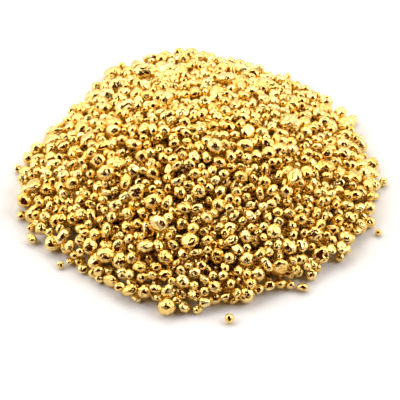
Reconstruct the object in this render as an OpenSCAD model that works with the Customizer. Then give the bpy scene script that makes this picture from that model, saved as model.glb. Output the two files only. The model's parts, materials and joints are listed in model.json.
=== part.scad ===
// A poured heap of gold casting grain: loose, rounded grains that rest on each other. The buried middle,
// where no grain can be seen, is one plain dome, and the grains in view lie two or three deep on it.
// Millimetres, +Z up, +X to the right, the front of the heap towards -Y, the surface it rests on at Z = 0.
//
// The heap is poured cell by cell. The floor is ruled into square cells, and each round drops one grain
// into every cell that isn't full yet. A grain tries a few spots, comes straight down on what lies
// there, rolls towards the lowest place nearby and stays. A cell is full when its top reaches the
// mound's profile.

/* [Heap] */
// Mean width of the heap across its foot, without the stray grains
heap_w = 95; // [92:1:98]
// Height of the mound's profile in the middle
heap_h = 22; // [20:1:23]
// Height of the profile at the foot, where the heap is one or two grains deep
foot_h = 3.8; // [3:0.2:4.2]
// How round the crown is: 1 is a straight cone, 2 a parabola
crown_roundness = 1.5; // [1.3:0.1:1.8]
// Share by which the foot waves in and out around the heap
foot_wave = 0.026; // [0.01:0.002:0.03]

/* [Grains] */
// Smallest grain, across
grain_min = 2; // [1.8:0.1:2.2]
// Largest grain at the crown, across
crown_grain_max = 3.5; // [3.2:0.1:3.7]
// Largest grain at the foot, across
foot_grain_max = 4.4; // [4:0.1:4.6]
// How rare the large grains are
large_grain_rarity = 1.7; // [1.5:0.1:2.2]
// Share of the grains near the surface that are long, like beans
bean_share = 0.5; // [0.2:0.05:0.6]
// Clearance kept between two grains, so that each one is a loose piece
gap = 0.06; // [0.06:0.01:0.1]

/* [Core] */
// Height of the dome that stands for the buried grains
core_h = 14; // [12:0.5:15]
// Width of the dome across its flat underside
core_w = 77; // [72:1:79]

/* [Pouring] */
// Number that picks one pouring out of all possible ones
pour = 5; // [1, 2, 4, 5, 6, 8, 9]
// Spots that a grain near the surface tries before it rolls
tries = 4; // [2:1:4]
// Times that it rolls on towards a lower place
rolls = 4; // [1:1:4]

/* [Hidden] */
// Side of a cell
cell = 2.8;
// How far a grain may land from the middle of its cell
play = 0.47 * cell;
// Cells from the middle one to the edge of the ruled floor
half_side = ceil(heap_w * (0.5 + 1.5 * foot_wave) / cell);
side = 2 * half_side + 1;
// Grains that one cell can hold, one on another
rounds = 9;
// Length of a grain's first roll
roll_length = 0.45;
// Depth under the profile, down to the grain's middle, where the grains in view end
shown_depth = 3.2;
// The dome is the top of this ball
dome_r = (core_w * core_w / 4 + core_h * core_h) / (2 * core_h);
dome = [0, 0, core_h - dome_r, dome_r];
// Depth within which grains are long as well as round, and are laid with care
careful_depth = 5;
// How far a grain may fall below the newest one in its cell
fall_depth = 2.4;
// A cell remembers its newest balls, and those above this depth under the newest
remembered_balls = 4;
remembered_depth = 6;
// A grain whose half length is over this share of its radius takes three balls to fill, not two
two_ball_share = 0.35;
// How far a large loose grain may settle from where it is dropped, along X and along Y
loose_roam = 2.4;
round_grain = [0, 0, 0];
gold = [0.86, 0.62, 0.2];
$fn = 24;

// ---- the mound's outline and profile ----

function foot_radius(turn) = heap_w / 2
    * (1 + foot_wave * (cos(3 * turn + 70) + cos(4 * turn - 25) + cos(5 * turn + 150)));

// 0 in the middle of the heap, 1 at its foot
function reach(x, y) = norm([x, y]) / foot_radius(atan2(y, x));

function profile(x, y) = let (q = reach(x, y))
    q < 1 ? foot_h + (heap_h - foot_h) * (1 - pow(q, crown_roundness)) : 0;

// ---- grains ----
// A grain is [centre, half of its long axis, radius]. A round grain's long axis is round_grain.
// A ball is [x, y, z, radius]. A grain is filled by one ball, or by two or three in a row.

function ball_places(long, r) =
    long == round_grain ? [0] : norm(long) < two_ball_share * r ? [-1, 1] : [-1, 0, 1];

function balls_of(g) = [for (s = ball_places(g[1], g[2])) concat(g[0] + s * g[1], g[2])];

function radius_at(x, y, luck) =
    let (largest = crown_grain_max + (foot_grain_max - crown_grain_max) * min(reach(x, y), 1))
    (grain_min + (largest - grain_min) * pow(luck, large_grain_rarity)) / 2;

function long_axis(half_length, turn, tilt) =
    half_length * [cos(tilt) * cos(turn), cos(tilt) * sin(turn), sin(tilt)];

// ---- coming to rest ----

// Height at which a ball that comes straight down at [x, y] touches the floor or another ball
function ball_rest(x, y, r, near) = max([r, for (b = concat([dome], near))
    let (apart = r + b[3] + gap, drop = apart * apart - (x - b[0]) * (x - b[0]) - (y - b[1]) * (y - b[1]))
    if (drop > 0) b[2] + sqrt(drop)]);

// The same for the middle of a whole grain, whose balls come down together
function grain_rest(x, y, long, r, near) = max([for (s = ball_places(long, r))
    ball_rest(x + s * long[0], y + s * long[1], r, near) - s * long[2]]);

function lowest(grains) = let (z = min([for (g = grains) g[0][2]]))
    [for (g = grains) if (g[0][2] == z) g][0];

// Balls in the cells round about that a grain within span of [x, y] could touch
function near_balls(heap, i, j, x, y, span) = [for (a = [max(i - 2, 0) : min(i + 2, side - 1)],
    b = [max(j - 2, 0) : min(j + 2, side - 1)], ball = heap[a][b][0])
    if (norm([ball[0] - x, ball[1] - y]) < ball[3] + span) ball];

function within(d) = max(-play, min(play, d));

// Rolls a grain towards the lowest of three places round about, without leaving the cell at [x, y]
function rolled(g, near, x, y, length, turn, times) = times == 0 ? g :
    let (next = lowest([for (k = [0 : 2])
             let (nx = x + within(g[0][0] - x + length * cos(turn + 120 * k)),
                  ny = y + within(g[0][1] - y + length * sin(turn + 120 * k)))
             [[nx, ny, grain_rest(nx, ny, g[1], g[2], near)], g[1], g[2]]]),
         lower = next[0][2] < g[0][2])
    rolled(lower ? next : g, near, x, y, length * (lower ? 0.8 : 0.5), turn + 77, times - 1);

// ---- pouring ----
// A cell is [balls, grains], with the newest first.

function dropped(heap, i, j, round, careful) =
    let (x = (i - half_side) * cell, y = (j - half_side) * cell,
         luck = rands(0, 1, 20, pour * 100003 + (i * side + j) * 32 + round),
         r = radius_at(x, y, luck[0]),
         half_length = careful && luck[1] < bean_share ? r * (0.25 + 0.35 * luck[2]) : 0,
         near = near_balls(heap, i, j, x, y, r + half_length + sqrt(2) * play + gap),
         spots = [for (k = [0 : careful ? tries - 1 : 1])
             let (sx = x + play * (2 * luck[4 + 4 * k] - 1), sy = y + play * (2 * luck[5 + 4 * k] - 1),
                  long = half_length == 0 ? round_grain :
                      long_axis(half_length, 360 * luck[6 + 4 * k], 60 * luck[7 + 4 * k] - 30))
             [[sx, sy, grain_rest(sx, sy, long, r, near)], long, r]])
    rolled(lowest(spots), near, x, y, roll_length, 360 * luck[3], careful ? rolls : 1);

function filled(heap, i, j, round) =
    let (here = heap[i][j],
         roof = profile((i - half_side) * cell, (j - half_side) * cell),
         empty = len(here[1]) == 0,
         top = empty ? 0 : here[1][0][0][2])
    roof == 0 || top > roof - 0.4 ? here :
    let (g = dropped(heap, i, j, round, top > roof - careful_depth))
    g[0][2] > max(profile(g[0][0], g[0][1]) + 0.2, g[2] + 0.01) || g[0][2] < top - fall_depth ? here :
    [concat(balls_of(g), [for (k = [0 : len(here[0]) - 1]) let (b = here[0][k])
        if (k < remembered_balls || b[2] > g[0][2] - remembered_depth) b]), concat([g], here[1])];

// Cells filled in one step lie three apart, so that their grains can't touch
function after_step(heap, s) = let (a = s % 3, b = floor(s / 3) % 3, round = floor(s / 9))
    [for (i = [0 : side - 1]) i % 3 != a ? heap[i] :
        [for (j = [0 : side - 1]) j % 3 != b ? heap[i][j] : filled(heap, i, j, round)]];

function poured(heap, s) = s == 9 * rounds ? heap : poured(after_step(heap, s), s + 1);

heap = poured([for (i = [1 : side]) [for (j = [1 : side]) [[], []]]], 0);
grains = [for (row = heap, here = row, g = here[1]) g];

// Lays one more grain on the finished heap or on the floor beside it. On the heap it settles in the
// deepest hollow, measured from the mound's profile, that it can roam to.
function laid(x, y, across, half_share, turn, roam) =
    let (r = across / 2, long = half_share == 0 ? round_grain : long_axis(r * half_share, turn, 0),
         near = [for (row = heap, here = row, ball = here[0])
             if (norm([ball[0] - x, ball[1] - y]) < ball[3] + r * (1 + half_share) + gap + 1.5 * roam) ball],
         steps = roam == 0 ? [0] : [-1, -2 / 3, -1 / 3, 0, 1 / 3, 2 / 3, 1],
         spots = [for (a = steps, b = steps) let (nx = x + a * roam, ny = y + b * roam)
             [[nx, ny, grain_rest(nx, ny, long, r, near)], long, r]],
         heights = [for (g = spots) g[0][2] - profile(g[0][0], g[0][1])])
    [for (k = [0 : len(spots) - 1]) if (heights[k] == min(heights)) spots[k]][0];

// ---- forms ----

module bean(r, half_length) {
    rotate_extrude()
        intersection() {
            union() {
                for (s = [-1, 1])
                    translate([0, s * half_length])
                        circle(r);
                translate([0, -half_length])
                    square([r, 2 * half_length]);
            }
            translate([0, -half_length - r])
                square([r, 2 * (half_length + r)]);
        }
}

module grain(g) {
    half_length = norm(g[1]);
    translate(g[0])
        if (half_length == 0)
            sphere(g[2]);
        else
            rotate([0, acos(g[1][2] / half_length), atan2(g[1][1], g[1][0])])
                bean(g[2], half_length);
}

// ---- groups of grains, by layer, by ring and by the way they face ----

function layer(g) = let (depth = profile(g[0][0], g[0][1]) - g[0][2])
    depth < shown_depth ? "shown" : "under";

function ring(g) = let (q = reach(g[0][0], g[0][1]))
    q > 0.82 ? "rim" : q > 0.57 ? "lower slope" : q > 0.3 ? "upper slope" : "crown";

// Degrees that a grain lies past a starting direction, counted from +X towards +Y
function past(g, start) = (atan2(g[0][1], g[0][0]) - start + 720) % 360;

// The grains on the surface in one ring, in a sector of so many degrees about a direction
module surface_grains(which, about, degrees) {
    color(gold)
        for (g = grains)
            if (layer(g) == "shown" && ring(g) == which && past(g, about - degrees / 2) < degrees)
                grain(g);
}

// The grains under those on the surface, in an eighth of the heap about a direction
module under_grains(about) {
    color(gold)
        for (g = grains)
            if (layer(g) == "under" && past(g, about - 22.5) < 45)
                grain(g);
}

module core() {
    color(gold)
        intersection() {
            translate([0, 0, dome[2]])
                sphere(dome_r);
            cylinder(h = core_h + 1, r = core_w / 2 + 1);
        }
}

module rim_right() { surface_grains("rim", 0, 45); }
module rim_back_right() { surface_grains("rim", 45, 45); }
module rim_back() { surface_grains("rim", 90, 45); }
module rim_back_left() { surface_grains("rim", 135, 45); }
module rim_left() { surface_grains("rim", 180, 45); }
module rim_front_left() { surface_grains("rim", 225, 45); }
module rim_front() { surface_grains("rim", 270, 45); }
module rim_front_right() { surface_grains("rim", 315, 45); }
module lower_slope_right() { surface_grains("lower slope", 0, 45); }
module lower_slope_back_right() { surface_grains("lower slope", 45, 45); }
module lower_slope_back() { surface_grains("lower slope", 90, 45); }
module lower_slope_back_left() { surface_grains("lower slope", 135, 45); }
module lower_slope_left() { surface_grains("lower slope", 180, 45); }
module lower_slope_front_left() { surface_grains("lower slope", 225, 45); }
module lower_slope_front() { surface_grains("lower slope", 270, 45); }
module lower_slope_front_right() { surface_grains("lower slope", 315, 45); }
module upper_slope_right() { surface_grains("upper slope", 0, 90); }
module upper_slope_back() { surface_grains("upper slope", 90, 90); }
module upper_slope_left() { surface_grains("upper slope", 180, 90); }
module upper_slope_front() { surface_grains("upper slope", 270, 90); }
module crown() { surface_grains("crown", 0, 360); }
module under_layer_right() { under_grains(0); }
module under_layer_back_right() { under_grains(45); }
module under_layer_back() { under_grains(90); }
module under_layer_back_left() { under_grains(135); }
module under_layer_left() { under_grains(180); }
module under_layer_front_left() { under_grains(225); }
module under_layer_front() { under_grains(270); }
module under_layer_front_right() { under_grains(315); }

// ---- large grains that lie loose on the flanks ----

// A grain at a reach from the middle in a direction, with its width, half length share and facing
module loose_grain(q, turn, across, half_share = 0, facing = 0) {
    d = q * foot_radius(turn);
    color(gold)
        grain(laid(d * cos(turn), d * sin(turn), across, half_share, facing, loose_roam));
}

module loose_grain_01() { loose_grain(0.62, 118, 4, 0.3, 20); }
module loose_grain_02() { loose_grain(0.3, 150, 3.7, 0.35, 70); }
module loose_grain_03() { loose_grain(0.18, 300, 3.6); }
module loose_grain_04() { loose_grain(0.55, 205, 4.2); }
module loose_grain_05() { loose_grain(0.66, 252, 3.8, 0.35, 150); }
module loose_grain_06() { loose_grain(0.6, 322, 4.2, 0.25, 100); }
module loose_grain_07() { loose_grain(0.5, 15, 3.7, 0.35, 45); }
module loose_grain_08() { loose_grain(0.55, 68, 4); }

// ---- grains that rolled off and lie alone beyond the foot ----

// The farthest reach of the part to each side, and to the front and back
outer_x = 0.55 * heap_w;
outer_y = 0.56 * heap_w;

module stray_grain(x, y, across, half_share = 0, facing = 0) {
    color(gold)
        grain(laid(x, y, across, half_share, facing, 0));
}

// One at so many millimetres beyond the foot in a direction
module stray_beyond(turn, beyond, across, half_share = 0, facing = 0) {
    d = foot_radius(turn) + beyond;
    stray_grain(d * cos(turn), d * sin(turn), across, half_share, facing);
}

module stray_grain_01() { stray_grain(outer_x - 1.1, -2.5, 2.2); }
module stray_grain_02() { stray_grain(1 - outer_x, 3, 2); }
module stray_grain_03() { stray_grain(-6, outer_y - 0.9, 1.8); }
module stray_grain_04() { stray_grain(7.5, 1.2 - outer_y, 2.4); }
module stray_grain_05() { stray_beyond(27, 2.6, 2.6, 0.4, 60); }
module stray_grain_06() { stray_beyond(58, 3.6, 1.8); }
module stray_grain_07() { stray_beyond(122, 2.8, 2.2, 0.5, 10); }
module stray_grain_08() { stray_beyond(158, 2.4, 1.9); }
module stray_grain_09() { stray_beyond(208, 3.1, 2.5, 0.35, 120); }
module stray_grain_10() { stray_beyond(222, 3.4, 1.9); }
module stray_grain_11() { stray_beyond(303, 3.2, 2.3, 0.5, 170); }
module stray_grain_12() { stray_beyond(336, 3.8, 1.8); }

rim_right();
rim_back_right();
rim_back();
rim_back_left();
rim_left();
rim_front_left();
rim_front();
rim_front_right();
lower_slope_right();
lower_slope_back_right();
lower_slope_back();
lower_slope_back_left();
lower_slope_left();
lower_slope_front_left();
lower_slope_front();
lower_slope_front_right();
upper_slope_right();
upper_slope_back();
upper_slope_left();
upper_slope_front();
crown();
under_layer_right();
under_layer_back_right();
under_layer_back();
under_layer_back_left();
under_layer_left();
under_layer_front_left();
under_layer_front();
under_layer_front_right();
core();
loose_grain_01();
loose_grain_02();
loose_grain_03();
loose_grain_04();
loose_grain_05();
loose_grain_06();
loose_grain_07();
loose_grain_08();
stray_grain_01();
stray_grain_02();
stray_grain_03();
stray_grain_04();
stray_grain_05();
stray_grain_06();
stray_grain_07();
stray_grain_08();
stray_grain_09();
stray_grain_10();
stray_grain_11();
stray_grain_12();
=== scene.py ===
"""The looks of a heap of gold casting grain: every CAD grain becomes a cast droplet of its own shape."""
import json
import math

import bmesh
import bpy
import numpy as np
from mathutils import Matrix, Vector

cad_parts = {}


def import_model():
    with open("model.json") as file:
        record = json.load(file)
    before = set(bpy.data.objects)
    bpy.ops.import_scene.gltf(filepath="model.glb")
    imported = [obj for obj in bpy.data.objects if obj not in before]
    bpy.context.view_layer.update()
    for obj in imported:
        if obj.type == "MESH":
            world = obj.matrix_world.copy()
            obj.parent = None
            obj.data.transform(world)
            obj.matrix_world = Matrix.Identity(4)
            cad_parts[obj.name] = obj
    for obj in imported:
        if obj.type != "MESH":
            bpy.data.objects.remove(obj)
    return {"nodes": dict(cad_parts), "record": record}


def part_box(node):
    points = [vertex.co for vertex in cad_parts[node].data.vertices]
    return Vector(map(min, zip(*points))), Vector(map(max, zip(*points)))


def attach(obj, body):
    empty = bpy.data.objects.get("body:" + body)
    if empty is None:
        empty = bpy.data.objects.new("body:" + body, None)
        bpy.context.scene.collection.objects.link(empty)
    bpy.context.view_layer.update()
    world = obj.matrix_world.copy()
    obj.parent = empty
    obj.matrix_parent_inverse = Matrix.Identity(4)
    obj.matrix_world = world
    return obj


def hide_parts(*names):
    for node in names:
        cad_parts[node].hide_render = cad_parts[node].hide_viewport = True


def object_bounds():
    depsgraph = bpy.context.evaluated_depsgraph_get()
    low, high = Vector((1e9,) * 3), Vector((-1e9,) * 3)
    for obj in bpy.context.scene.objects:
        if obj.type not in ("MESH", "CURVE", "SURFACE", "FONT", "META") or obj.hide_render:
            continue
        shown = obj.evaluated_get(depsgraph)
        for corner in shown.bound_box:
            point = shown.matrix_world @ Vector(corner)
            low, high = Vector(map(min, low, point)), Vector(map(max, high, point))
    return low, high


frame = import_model()
cad_box = [list(corner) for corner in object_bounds()]

MM = 0.001
BODIES = frame["record"]["behaviour"]["bodies"]
BODY_OF = {node: body for body, nodes in BODIES.items() for node in nodes}

# ---- reading the CAD grains ----
WELD = 1e-6                 # points of one solid closer than this are one corner
ROUND_BELOW = 0.06          # a solid less long than this share of its radius is a round grain

# ---- how a grain looks ----
SWELL = 1.11                # grains of the heap fill the gaps between the CAD grains, which keep clear of each other
LONE_SWELL = 1.04           # the same for a grain that can be lifted off
FINE = 4                    # icosphere levels: grains on their own
CLEAR = 4                   # grains on the surface
ROUGH = 3                   # grains under others

# ---- the build of a grain ----
PLUMP = 0.84                # thickness over width of the least flat of the flat grains
FLATTEST = 0.66             # and of the flattest
FLATNESS_SHARES = (0.2, 0.4, 0.4)   # of grains that are round, a little flat and flat
SPREAD = 0.3                # how much wider a flat grain is, times how flat it is
STRETCH = 0.2               # most that a round grain grows longer than it is wide
TAPER = 0.1                 # usual narrowing from the middle to one end
BOW = 0.08                  # usual bend of a long grain
LEVELLING = 0.5             # a round grain's longer way leans this much less than chance would have it
TILT = 0.5                  # how far the flat faces tilt off straight up and down
END_SHARPNESS = 2.4         # how quickly a long grain's shaft gives way to its round ends

# ---- the skin of a grain, as shares of its radius; a breadth is 1 - cos of the angle where a form fades ----
LUMPS = 9                   # broad rises and hollows
LUMP_RISE = 0.07
LUMP_BREADTH = (0.06, 0.35)
DIMPLED_SHARE = 0.75        # share of grains with sunken spots, where the metal shrank
MOST_DIMPLES = 4
DIMPLE_DEPTH = (0.08, 0.26)
DIMPLE_BREADTH = (0.015, 0.07)
CREASED_SHARE = 0.7         # share of grains with curved creases, where a skin folded as it froze
CREASES = 3
CREASE_DEPTH = (0.04, 0.1)
CREASE_BREADTH = 0.09
CREASE_COSINE = (0.55, 0.88)    # of the angle between a crease and the middle that it bends around
CREASE_FADE = (0.4, 1.5)    # share of its depth halfway along, and how fast that changes
DISH_DEPTH = (0.2, 1.0)     # of the hollows in the two flat faces, times how flat the grain is
DISH_BREADTH = (0.04, 0.12)
NUGGET_SHARE = 0.5          # share of grains with a wrinkled skin
WRINKLES = 6
WRINKLE_RISE = 0.022
WRINKLE_PITCH = (3, 9)      # radians of wave over one radius
LEAST_HEIGHT = 0.5          # no hollow goes deeper than this, so that a skin never folds through itself

# ---- the buried grains, seen only through gaps ----
BURIED_NODE = "core"
BURIED_ACROSS = 2.3 * MM
BURIED_SPREAD = (0.75, 1.15)    # of their sizes, times BURIED_ACROSS
BURIED_PACKING = 0.8        # share of the dome's skin that they cover
BURIED_SINK = 0.3 * MM      # most that one lies deeper than its neighbours
GOLDEN_ANGLE = math.pi * (3 - math.sqrt(5))


# ------------------------------------------------------------------ reading the CAD

def points_of(node):
    """A node's corner points, and for each triangle the numbers of its three corners, welded."""
    mesh = node.data
    co = np.empty(len(mesh.vertices) * 3)
    mesh.vertices.foreach_get("co", co)
    co = co.reshape(-1, 3)
    mesh.calc_loop_triangles()
    corners = np.empty(len(mesh.loop_triangles) * 3, np.int64)
    mesh.loop_triangles.foreach_get("vertices", corners)
    _, first, welded = np.unique(np.round(co / WELD).astype(np.int64), axis=0, return_index=True, return_inverse=True)
    return co[first], welded.ravel()[corners].reshape(-1, 3)


def solids_of(node):
    """The corner points of each separate solid in a CAD node."""
    co, triangles = points_of(node)
    label = np.arange(len(co))
    while True:
        low = label[triangles].min(axis=1)
        joined = label.copy()
        for k in range(3):
            np.minimum.at(joined, triangles[:, k], low)
        joined = joined[joined]
        if (joined == label).all():
            break
        label = joined
    order = np.argsort(label, kind="stable")
    cuts = np.flatnonzero(np.diff(label[order])) + 1
    return [co[part] for part in np.split(order, cuts)]


def grain_in(points, swell):
    """(centre, long axis, half length past the radius, swollen radius) of the round or long grain in these points."""
    centre = (points.min(axis=0) + points.max(axis=0)) / 2
    out = points - centre
    reach = np.linalg.norm(out, axis=1)
    far = reach.argmax()
    axis = out[far] / reach[far]
    radius = np.linalg.norm(out - np.outer(out @ axis, axis), axis=1).max()
    half = reach[far] - radius
    return centre, axis, (half if half > ROUND_BELOW * radius else 0.0), swell * radius


# ------------------------------------------------------------------ shaping grains

def icosphere(level):
    """Points and triangles of a unit icosphere."""
    bm = bmesh.new()
    bmesh.ops.create_icosphere(bm, subdivisions=level, radius=1.0)
    bm.verts.ensure_lookup_table()
    points = np.array([v.co[:] for v in bm.verts])
    triangles = np.array([[v.index for v in f.verts] for f in bm.faces])
    bm.free()
    return points, triangles


SPHERES = {level: icosphere(level) for level in (ROUGH, CLEAR, FINE)}


def directions(rng, count):
    d = rng.normal(size=(count, 3))
    return d / np.linalg.norm(d, axis=1, keepdims=True)


def turned(rng, points):
    """The points, turned some way round."""
    q, _ = np.linalg.qr(rng.normal(size=(3, 3)))
    return points @ (q * np.sign(np.linalg.det(q)))


def bump(d, centre, breadth):
    """1 in the direction of the centre, fading away from it."""
    return np.exp((d @ centre - 1) / breadth)


def skin(rng, d, flat, squash):
    """How far the skin stands from the middle of a grain of radius 1, in each direction d."""
    height = np.ones(len(d))
    for centre, rise in zip(directions(rng, LUMPS), rng.normal(0, LUMP_RISE, LUMPS)):
        height += rise * bump(d, centre, rng.uniform(*LUMP_BREADTH))
    if rng.random() < DIMPLED_SHARE:
        for centre in directions(rng, rng.integers(1, MOST_DIMPLES + 1)):
            height -= rng.uniform(*DIMPLE_DEPTH) * bump(d, centre, rng.uniform(*DIMPLE_BREADTH))
    if rng.random() < CREASED_SHARE:
        for centre, side in zip(directions(rng, CREASES), directions(rng, CREASES)):
            across = (d @ centre - rng.uniform(*CREASE_COSINE)) / CREASE_BREADTH
            along = np.clip(CREASE_FADE[0] + CREASE_FADE[1] * (d @ side), 0, 1)
            height -= rng.uniform(*CREASE_DEPTH) * along * np.exp(-across ** 2)
    for face in (flat, -flat):
        height -= (1 - squash) * rng.uniform(*DISH_DEPTH) * bump(d, face, rng.uniform(*DISH_BREADTH))
    if rng.random() < NUGGET_SHARE:
        for wave in directions(rng, WRINKLES) * rng.uniform(*WRINKLE_PITCH, (WRINKLES, 1)):
            cross_wave = np.sin(math.pi * d @ np.roll(wave, 1))
            height += WRINKLE_RISE * np.sin(d @ wave + rng.uniform(0, math.tau)) * cross_wave
    return np.maximum(height, LEAST_HEIGHT)


def cast_grain(rng, sphere, centre, axis, half, radius):
    """The points of one cast grain that fills the CAD grain's room."""
    d = turned(rng, sphere)
    if half == 0:
        axis = directions(rng, 1)[0] * (1, 1, LEVELLING)
        axis /= np.linalg.norm(axis)
    up = np.array([0, 0, 1.0]) + TILT * rng.normal(size=3)
    flat = np.cross(np.cross(axis, up), axis)
    flat /= np.linalg.norm(flat)
    side = np.cross(axis, flat)
    squash = rng.choice([1.0, rng.uniform(PLUMP, 1.0), rng.uniform(FLATTEST, PLUMP)], p=FLATNESS_SHARES)
    taper = rng.normal(0, TAPER)
    bow = rng.normal(0, BOW) * (half > 0) * (radius + half)
    along, across, thick = d @ axis, d @ side, d @ flat
    r = radius * skin(rng, d, flat, squash)
    stretch = 1 + STRETCH * (half == 0) * rng.random()
    shaft = half * np.tanh(END_SHARPNESS * along) / np.tanh(END_SHARPNESS)
    girth = r * (1 - taper * along)
    x = r * along * stretch + shaft
    y = girth * across * (1 + SPREAD * (1 - squash))
    z = girth * thick * squash + bow * (along ** 2 - 1 / 3)
    return centre + np.outer(x, axis) + np.outer(y, side) + np.outer(z, flat)


def grains_piece(name, grains, level, rng):
    """One mesh object that holds these grains, each with a tint of its own."""
    sphere, triangles = SPHERES[level]
    points = np.concatenate([cast_grain(rng, sphere, *g) for g in grains])
    points[:, 2] = np.maximum(points[:, 2], 0)
    faces = np.concatenate([triangles + k * len(sphere) for k in range(len(grains))])
    mesh = bpy.data.meshes.new(name)
    mesh.vertices.add(len(points))
    mesh.vertices.foreach_set("co", points.ravel())
    mesh.loops.add(faces.size)
    mesh.loops.foreach_set("vertex_index", faces.ravel())
    mesh.polygons.add(len(faces))
    mesh.polygons.foreach_set("loop_start", np.arange(0, faces.size, 3))
    mesh.update(calc_edges=True)
    mesh.shade_smooth()
    tint = mesh.attributes.new("tint", "FLOAT", "POINT")
    tint.data.foreach_set("value", np.repeat(rng.random(len(grains)), len(sphere)))
    piece = bpy.data.objects.new(name, mesh)
    bpy.context.scene.collection.objects.link(piece)
    mesh.materials.append(gold)
    return piece


# ------------------------------------------------------------------ material

DEEP_GOLD = (0.88, 0.55, 0.11, 1)
PALE_GOLD = (1.0, 0.81, 0.36, 1)
TINT_WEIGHT = 0.6           # of a grain's own tint in its colour
STAIN_WEIGHT = 0.45         # of the cloudy changes over its skin
POLISHED = (0.01, 0.06)     # roughness of the bright skin
SATIN = 0.12                # most that the dullest grains add to it
SATIN_ABOVE = 0.65          # tint above which a grain is dull
PEEL_DEPTH = 0.36 * MM
PEEL_STRENGTH = 0.8
PIT_DEPTH = 0.02 * MM
PIT_STRENGTH = 0.25
PIT_REACH = 0.25            # of a cell's size
STAINS, HAZE, PEEL, PITS = 420, 900, 1500, 2600     # waves or cells over one metre


def gold_material():
    """Bright cast gold: a polished skin with a faint orange peel, fine pits and small changes of colour."""
    material = bpy.data.materials.new("bright_cast_gold")
    material.use_nodes = True
    nodes, links = material.node_tree.nodes, material.node_tree.links
    shader = nodes["Principled BSDF"]
    shader.inputs["Metallic"].default_value = 1.0
    place = nodes.new("ShaderNodeTexCoord").outputs["Object"]
    attribute = nodes.new("ShaderNodeAttribute")
    attribute.attribute_name = "tint"
    tint = attribute.outputs["Fac"]

    def node(kind, link, **values):
        """A new node with its sockets set from values, and from other nodes' outputs."""
        made = nodes.new(kind)
        for key, value in values.items():
            made.inputs[key.replace("_", " ")].default_value = value
        for socket, source in link.items():
            links.new(source, made.inputs[socket])
        return made

    def sums(first, second, weight):
        """first times weight, plus second."""
        made = node("ShaderNodeMath", {0: first, 2: second})
        made.operation = "MULTIPLY_ADD"
        made.inputs[1].default_value = weight
        return made.outputs[0]

    def noise(scale, detail):
        return node("ShaderNodeTexNoise", {"Vector": place}, Scale=scale, Detail=detail).outputs["Fac"]

    stain = node("ShaderNodeMapRange", {"Value": noise(STAINS, 3)}, To_Max=STAIN_WEIGHT).outputs["Result"]
    colour = node("ShaderNodeValToRGB", {"Fac": sums(tint, stain, TINT_WEIGHT)})
    colour.color_ramp.elements[0].color = DEEP_GOLD
    colour.color_ramp.elements[1].color = PALE_GOLD
    links.new(colour.outputs["Color"], shader.inputs["Base Color"])

    gloss = node("ShaderNodeMapRange", {"Value": noise(HAZE, 4)},
                 From_Min=0.3, From_Max=0.7, To_Min=POLISHED[0], To_Max=POLISHED[1]).outputs["Result"]
    frost = node("ShaderNodeMapRange", {"Value": tint}, From_Min=SATIN_ABOVE, To_Max=SATIN).outputs["Result"]
    links.new(sums(frost, gloss, 1), shader.inputs["Roughness"])

    pits = node("ShaderNodeTexVoronoi", {"Vector": place}, Scale=PITS).outputs["Distance"]
    pit = node("ShaderNodeMapRange", {"Value": pits}, From_Max=PIT_REACH).outputs["Result"]
    peel_bump = node("ShaderNodeBump", {"Height": noise(PEEL, 2)}, Strength=PEEL_STRENGTH, Distance=PEEL_DEPTH)
    pit_bump = node("ShaderNodeBump", {"Height": pit, "Normal": peel_bump.outputs["Normal"]},
                    Strength=PIT_STRENGTH, Distance=PIT_DEPTH)
    links.new(pit_bump.outputs["Normal"], shader.inputs["Normal"])
    return material


gold = gold_material()

# ------------------------------------------------------------------ the grains

for seed, name in enumerate(sorted(set(BODY_OF) - {BURIED_NODE})):
    alone = BODIES[BODY_OF[name]] == [name]
    level = FINE if alone else ROUGH if name.startswith("under_layer") else CLEAR
    swell = LONE_SWELL if alone else SWELL
    grains = [grain_in(points, swell) for points in solids_of(frame["nodes"][name])]
    piece = grains_piece(name + "_gold", grains, level, np.random.default_rng(100 + seed))
    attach(piece, BODY_OF[name])
    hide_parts(name)


def buried_grains(rng):
    """Grains packed just under the dome's skin, spread evenly by the golden angle."""
    low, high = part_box(BURIED_NODE)
    rim, top = (high.x - low.x) / 2, high.z
    ball = (rim * rim + top * top) / (2 * top)      # radius of the ball that the dome is cut from
    skin_area = 2 * math.pi * ball * top
    count = int(BURIED_PACKING * skin_area / (math.pi * (BURIED_ACROSS / 2) ** 2))
    grains = []
    for k in range(count):
        height = 1 - (k + 0.5) / count * top / ball
        turn = k * GOLDEN_ANGLE
        out = math.sqrt(1 - height * height)
        radius = BURIED_ACROSS / 2 * rng.uniform(*BURIED_SPREAD)
        reach = ball - radius - rng.uniform(0, BURIED_SINK)
        centre = np.array([reach * out * math.cos(turn), reach * out * math.sin(turn), reach * height + top - ball])
        centre[2] = max(centre[2], radius)
        grains.append((centre, np.array([1.0, 0, 0]), 0.0, radius))
    return grains


def quarter_of(grain):
    x, y = grain[0][:2]
    if abs(x) > abs(y):
        return "right" if x > 0 else "left"
    return "back" if y > 0 else "front"


rng = np.random.default_rng(7)
buried = buried_grains(rng)
for quarter in ("front", "right", "back", "left"):
    members = [grain for grain in buried if quarter_of(grain) == quarter]
    piece = grains_piece("core_gold_" + quarter, members, ROUGH, rng)
    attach(piece, BODY_OF[BURIED_NODE])
    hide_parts(BURIED_NODE)

# ------------------------------------------------------------------ floor, light and camera

low, high = (Vector(corner) for corner in cad_box)
span = max(high.x - low.x, high.y - low.y)
middle = Vector(((low.x + high.x) / 2, (low.y + high.y) / 2, 0))

# lengths in spans of the heap
ELEVATION = math.radians(46)
FRONT = Vector((0, -math.cos(ELEVATION), math.sin(ELEVATION)))     # towards the camera and the tent's opening
DISTANCE = 4.0
HALF_VIEW = 0.521
AIM_FORWARD = 0.08
FLOOR_REACH = 30

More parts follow.
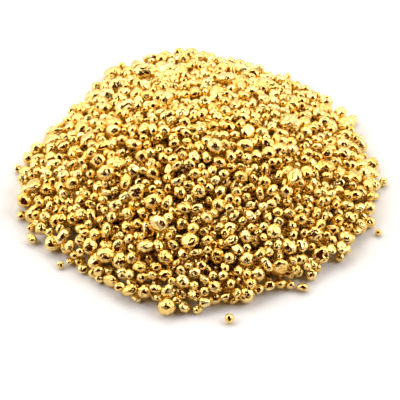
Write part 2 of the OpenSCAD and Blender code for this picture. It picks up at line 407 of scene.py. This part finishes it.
# brightness of the tent by the cosine off its opening, and by the sine of the height over the floor
OPENING = ((0.48, 0.72), (0.63, 0.18), (0.8, 0.05))
PANELS = ((0.0, 1.0), (0.22, 1.0), (0.3, 0.3), (0.38, 0.3), (0.46, 1.0), (0.78, 1.0), (0.87, 0.3), (1.0, 0.3))
OPENING_DARK = 0.94         # the cosine where the dark room begins
OPENING_WARMTH = (1, 1.4, 1.8)      # powers of that brightness for red, green and blue
TENT_STRENGTH = 1.03
WARM_WHITE = (1, 0.94, 0.78, 1)
DARK_ROOM = (0.07, 0.01, 0.004, 1)
PAPER = (0.95, 0.96, 1.0, 1)


def floor():
    mesh = bpy.data.meshes.new("floor")
    r = FLOOR_REACH * span
    mesh.from_pydata([(-r, -r, 0), (r, -r, 0), (r, r, 0), (-r, r, 0)], [], [(0, 1, 2, 3)])
    plane = bpy.data.objects.new("floor", mesh)
    bpy.context.scene.collection.objects.link(plane)
    paper = bpy.data.materials.new("white_paper")
    paper.use_nodes = True
    shader = paper.node_tree.nodes["Principled BSDF"]
    shader.inputs["Base Color"].default_value = PAPER
    shader.inputs["Roughness"].default_value = 0.6
    mesh.materials.append(paper)


def softbox(name, turn, lift, breadth, strength, colour=(1, 1, 1)):
    """A broad round light from a direction, all in degrees, so far off that it lights the whole floor evenly."""
    data = bpy.data.lights.new(name, "SUN")
    data.angle = math.radians(breadth)
    data.energy = strength
    data.color = colour
    light = bpy.data.objects.new(name, data)
    bpy.context.scene.collection.objects.link(light)
    a, e = math.radians(turn), math.radians(lift)
    way = Vector((math.cos(e) * math.cos(a), math.cos(e) * math.sin(a), math.sin(e)))
    light.location = middle + span * way
    light.rotation_euler = (-way).to_track_quat("-Z", "Y").to_euler()


def ramp(nodes, links, source, stops):
    """A colour ramp that reads a source, with a (position, colour) for each stop."""
    made = nodes.new("ShaderNodeValToRGB")
    ends, between = made.color_ramp.elements, stops[1:-1]
    ends[0].position, ends[0].color = stops[0]
    ends[1].position, ends[1].color = stops[-1]
    for position, colour in between:
        made.color_ramp.elements.new(position).color = colour
    links.new(source, made.inputs["Fac"])
    return made.outputs["Color"]


def world():
    """A tent of white panels with dark gaps between them, open towards the front, where the room is dark."""
    sky = bpy.data.worlds.new("studio")
    bpy.context.scene.world = sky
    sky.use_nodes = True
    nodes, links = sky.node_tree.nodes, sky.node_tree.links
    place = nodes.new("ShaderNodeTexCoord").outputs["Generated"]
    towards_front = nodes.new("ShaderNodeVectorMath")
    towards_front.operation = "DOT_PRODUCT"
    towards_front.inputs[1].default_value = FRONT
    links.new(place, towards_front.inputs[0])
    height = nodes.new("ShaderNodeSeparateXYZ")
    links.new(place, height.inputs["Vector"])
    tent = nodes.new("ShaderNodeVectorMath")
    tent.operation = "MULTIPLY"
    opening = [(at, (*(v ** power for power in OPENING_WARMTH), 1)) for at, v in OPENING]
    stops = [(0.0, WARM_WHITE), *opening, (OPENING_DARK, DARK_ROOM)]
    panels = [(at, (v, v, v, 1)) for at, v in PANELS]
    links.new(ramp(nodes, links, towards_front.outputs["Value"], stops), tent.inputs[0])
    links.new(ramp(nodes, links, height.outputs["Z"], panels), tent.inputs[1])
    background = nodes["Background"]
    links.new(tent.outputs["Vector"], background.inputs["Color"])
    background.inputs["Strength"].default_value = TENT_STRENGTH


def camera():
    """Looks down on the heap from the front, from far enough away for a flat perspective."""
    data = bpy.data.cameras.new("camera")
    made = bpy.data.objects.new("camera", data)
    bpy.context.scene.collection.objects.link(made)
    aim = middle + AIM_FORWARD * span * Vector((0, -1, 0))
    made.location = aim + DISTANCE * span * FRONT
    made.rotation_euler = (-FRONT).to_track_quat("-Z", "Y").to_euler()
    data.angle = 2 * math.atan(HALF_VIEW / DISTANCE)
    data.clip_end = 100 * span
    return made


bpy.context.scene.view_settings.view_transform = "Standard"
floor()
world()
softbox("key", 95, 50, 38, 1.05, (1, 0.93, 0.8))
softbox("side_left", 168, 38, 47, 1.55)
softbox("side_right", 12, 38, 47, 1.5)
bpy.context.scene.camera = camera()
